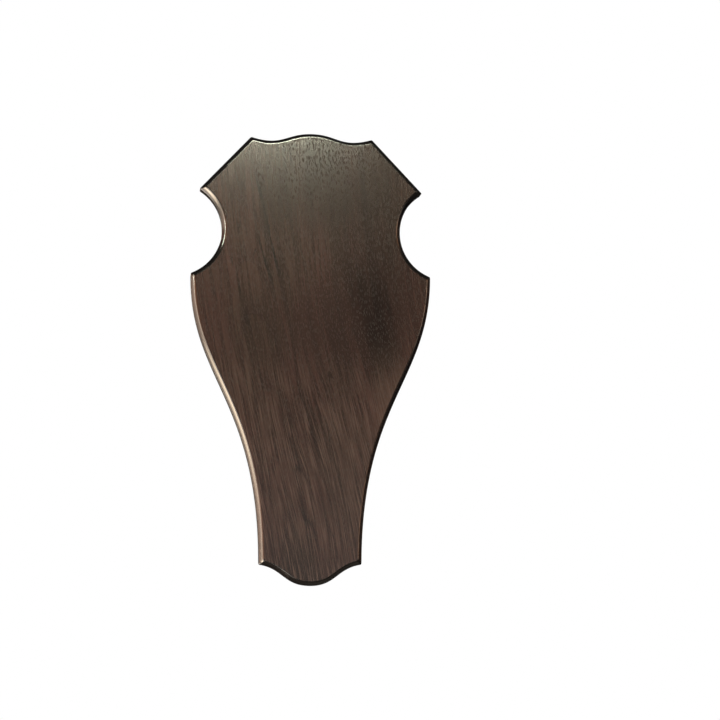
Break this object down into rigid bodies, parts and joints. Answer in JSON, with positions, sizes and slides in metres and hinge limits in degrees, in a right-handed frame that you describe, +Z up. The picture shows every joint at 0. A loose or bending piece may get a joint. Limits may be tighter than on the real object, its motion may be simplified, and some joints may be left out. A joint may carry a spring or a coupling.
{
  "type": "antler mounting plaque",
  "caption": "Shield-shaped wooden board with a moulded face edge and a keyhole in its back, made to hang on a wall and carry a pair of antlers.",
  "frame": {"origin": "on the flat back, on the centreline, half way between the crest and the foot", "axes": "+Z up along the board's length, +Y out of the back into the wall, +X to the right for someone who looks at the face"},
  "size_m": [0.12, 0.01, 0.226],
  "materials": {
    "dark_stained_oak": "open-grained oak stained dark brown and lacquered satin"
  },
  "bodies": {
    "root": {"plaque_board": "dark_stained_oak"}
  },
  "joints": []
}
